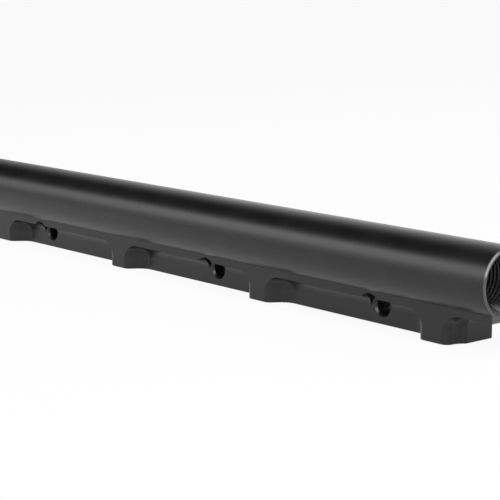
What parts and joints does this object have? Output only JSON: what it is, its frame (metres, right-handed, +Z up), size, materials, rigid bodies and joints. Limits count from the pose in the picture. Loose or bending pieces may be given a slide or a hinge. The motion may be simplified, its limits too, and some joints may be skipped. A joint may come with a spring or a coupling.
{
  "type": "fuel rail",
  "caption": "Straight fuel rail: a round tube over a deep web with injector cups, milled pockets, mounting holes and a threaded port at each end.",
  "frame": {"origin": "on the plane of the feet's bottoms, under the middle of the tube's axis", "axes": "+X along the rail, +Y to its flat rear, +Z up from the injector side to the tube"},
  "size_m": [0.324, 0.025, 0.0354],
  "materials": {
    "anodised_aluminium": "black anodised aluminium, satin"
  },
  "bodies": {
    "root": {"rail_body": "anodised_aluminium"}
  },
  "joints": []
}
